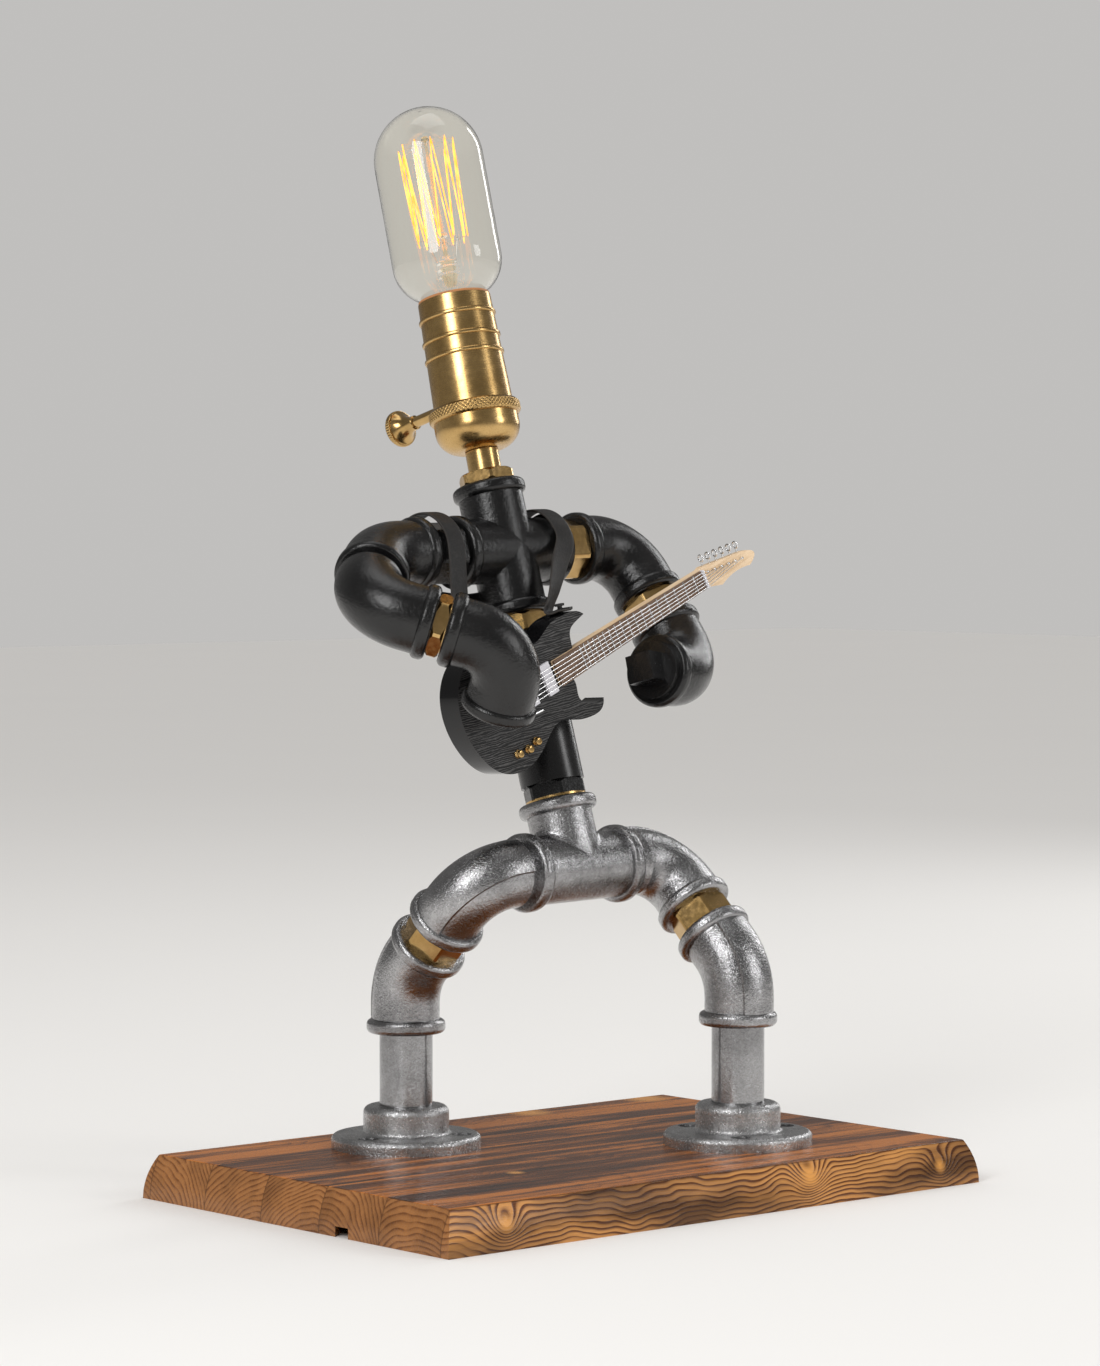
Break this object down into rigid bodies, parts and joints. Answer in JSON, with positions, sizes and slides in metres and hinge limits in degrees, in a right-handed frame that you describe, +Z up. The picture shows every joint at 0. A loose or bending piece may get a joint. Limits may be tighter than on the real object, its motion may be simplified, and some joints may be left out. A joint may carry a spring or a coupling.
{
  "type": "steampunk table lamp",
  "caption": "Table lamp built from pipe fittings as a guitarist on a wooden board: a lampholder with a turn key is its head, and its threaded arms swing beside a miniature guitar.",
  "frame": {"origin": "centre of the board's underside", "axes": "+Z up, the figure faces -Y, +X along the board towards the figure's left"},
  "size_m": [0.2794, 0.2021, 0.4382],
  "materials": {
    "board_wood": "charred and varnished",
    "galvanised_iron": "galvanised",
    "pipe_steel": "galvanised",
    "black_iron": "satin black paint",
    "brass": "satin",
    "dark_steel": "satin",
    "bulb_glass": "clear, amber tint",
    "filament_wire": "glowing",
    "insulator": "glazed",
    "fibre": "matte",
    "guitar_black": "black, grained face",
    "maple": "varnished",
    "fret_wood": "oiled",
    "bright_steel": "polished",
    "pale_plastic": "gloss",
    "strap_leather": "matte",
    "wire_rubber": "matte"
  },
  "bodies": {
    "stand": {"base_board": "board_wood", "chest_cross": "black_iron", "chest_nipple": "brass", "flange_screws": "dark_steel", "guitar_body": "guitar_black", "guitar_bridge": "bright_steel", "guitar_fretboard": "fret_wood", "guitar_frets": "bright_steel", "guitar_knobs": "brass", "guitar_lever": "bright_steel", "guitar_neck": "maple", "guitar_nut": "pale_plastic", "guitar_pickups": "pale_plastic", "guitar_strap": "strap_leather", "guitar_strap_pins": "bright_steel", "guitar_strings": "bright_steel", "guitar_tuners": "bright_steel", "hip_tee": "galvanised_iron", "lamp_wire": "wire_rubber", "left_flange": "galvanised_iron", "left_hip_elbow": "galvanised_iron", "left_knee_elbow": "galvanised_iron", "left_knee_nipple": "brass", "left_leg_pipe": "pipe_steel", "left_shoulder_nipple": "brass", "neck_bushing": "brass", "neck_nipple": "brass", "right_flange": "galvanised_iron", "right_hip_elbow": "galvanised_iron", "right_knee_elbow": "galvanised_iron", "right_knee_nipple": "brass", "right_leg_pipe": "pipe_steel", "right_shoulder_nipple": "black_iron", "spine_sleeve": "black_iron", "waist_nipple": "black_iron"},
    "lampholder": {"holder_cap": "brass", "holder_ring": "brass", "holder_shell": "brass", "holder_liner": "fibre", "socket_insert": "insulator", "screw_shell": "brass", "centre_contact": "brass"},
    "switch_key": {"switch_key_stem": "brass", "switch_key_knob": "brass"},
    "bulb": {"bulb_cap": "brass", "bulb_glass": "bulb_glass", "bulb_mount": "bulb_glass", "bulb_filament": "filament_wire"},
    "left_arm": {"left_shoulder_elbow": "black_iron", "left_forearm_nipple": "brass"},
    "left_forearm": {"left_forearm_elbow": "black_iron", "left_hand_plug": "black_iron"},
    "right_arm": {"right_shoulder_elbow": "black_iron", "right_upper_arm_elbow": "black_iron", "right_forearm_nipple": "brass"},
    "right_forearm": {"right_forearm_elbow": "black_iron"}
  },
  "joints": [
    {"name": "lampholder_turn", "type": "hinge", "parent": "stand", "child": "lampholder", "pos_m": [-0.00008, 0.04812, 0.28246], "axis": [-0.0049, 0.2654, 0.9641], "range_deg": [-90, 90]},
    {"name": "switch_key_turn", "type": "hinge", "parent": "lampholder", "child": "switch_key", "pos_m": [-0.00026, 0.05789, 0.31794], "axis": [-0.0448, 0.9631, -0.2654], "continuous": true},
    {"name": "bulb_unscrew", "type": "slide", "parent": "lampholder", "child": "bulb", "axis": [-0.0049, 0.2654, 0.9641], "range_m": [0, 0.03]},
    {"name": "left_arm_swing", "type": "hinge", "parent": "stand", "child": "left_arm", "pos_m": [0.06811, 0.04315, 0.25692], "axis": [0.9988, 0.0445, 0.0192], "range_deg": [0, 70]},
    {"name": "left_forearm_turn", "type": "hinge", "parent": "left_arm", "child": "left_forearm", "pos_m": [0.07097, 0.00183, 0.20375], "axis": [0.0425, -0.613, -0.7889], "range_deg": [-20, 90]},
    {"name": "right_arm_swing", "type": "hinge", "parent": "stand", "child": "right_arm", "pos_m": [-0.06574, 0.03719, 0.25435], "axis": [-0.9988, -0.0445, -0.0192], "range_deg": [0, 60]},
    {"name": "right_forearm_turn", "type": "hinge", "parent": "right_arm", "child": "right_forearm", "pos_m": [-0.05108, -0.02894, 0.21896], "axis": [0.7369, -0.6144, -0.2819], "range_deg": [-60, 0]}
  ]
}
